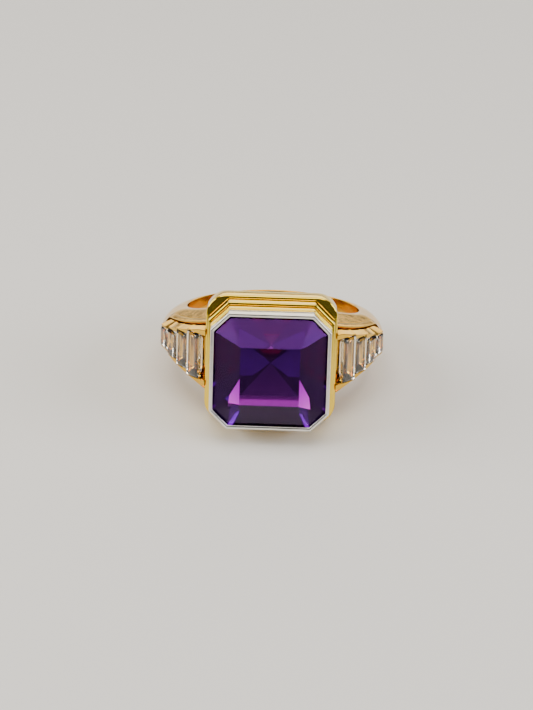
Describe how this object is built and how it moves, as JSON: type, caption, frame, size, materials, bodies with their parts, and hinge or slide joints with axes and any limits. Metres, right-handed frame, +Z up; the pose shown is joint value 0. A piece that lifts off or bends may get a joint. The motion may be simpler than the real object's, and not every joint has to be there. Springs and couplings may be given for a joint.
{
  "type": "cocktail ring",
  "caption": "Art-deco style two-metal cocktail ring, lying on its side: a large cut-cornered purple gem in a bezel on a stepped head, with graduated baguettes in tapering shoulders.",
  "frame": {"origin": "on the surface that the ring lies on, under the middle of its bounding box", "axes": "+Z up from that surface, +Y from the gem towards the back of the shank, X across the shoulders; the ring lies on its side on the lower edge of its head and the edge of its shank, so the finger hole's axis leans 15 degrees from +Z towards +Y and the gem faces -Y, 15 degrees upwards"},
  "size_m": [0.0212, 0.025, 0.0127],
  "materials": {
    "yellow_gold": "polished",
    "white_gold": "polished",
    "amethyst": "polished",
    "colourless_stone": "polished"
  },
  "bodies": {
    "root": {"shank_band": "yellow_gold", "left_shoulder": "yellow_gold", "right_shoulder": "yellow_gold", "left_rail_upper": "yellow_gold", "left_rail_lower": "yellow_gold", "right_rail_upper": "yellow_gold", "right_rail_lower": "yellow_gold", "gallery_base": "yellow_gold", "middle_tier": "yellow_gold", "upper_tier": "yellow_gold", "white_bezel": "white_gold", "stone_seat": "white_gold", "left_baguette_1": "colourless_stone", "left_baguette_2": "colourless_stone", "left_baguette_3": "colourless_stone", "left_baguette_4": "colourless_stone", "right_baguette_1": "colourless_stone", "right_baguette_2": "colourless_stone", "right_baguette_3": "colourless_stone", "right_baguette_4": "colourless_stone", "amethyst": "amethyst"}
  },
  "joints": []
}
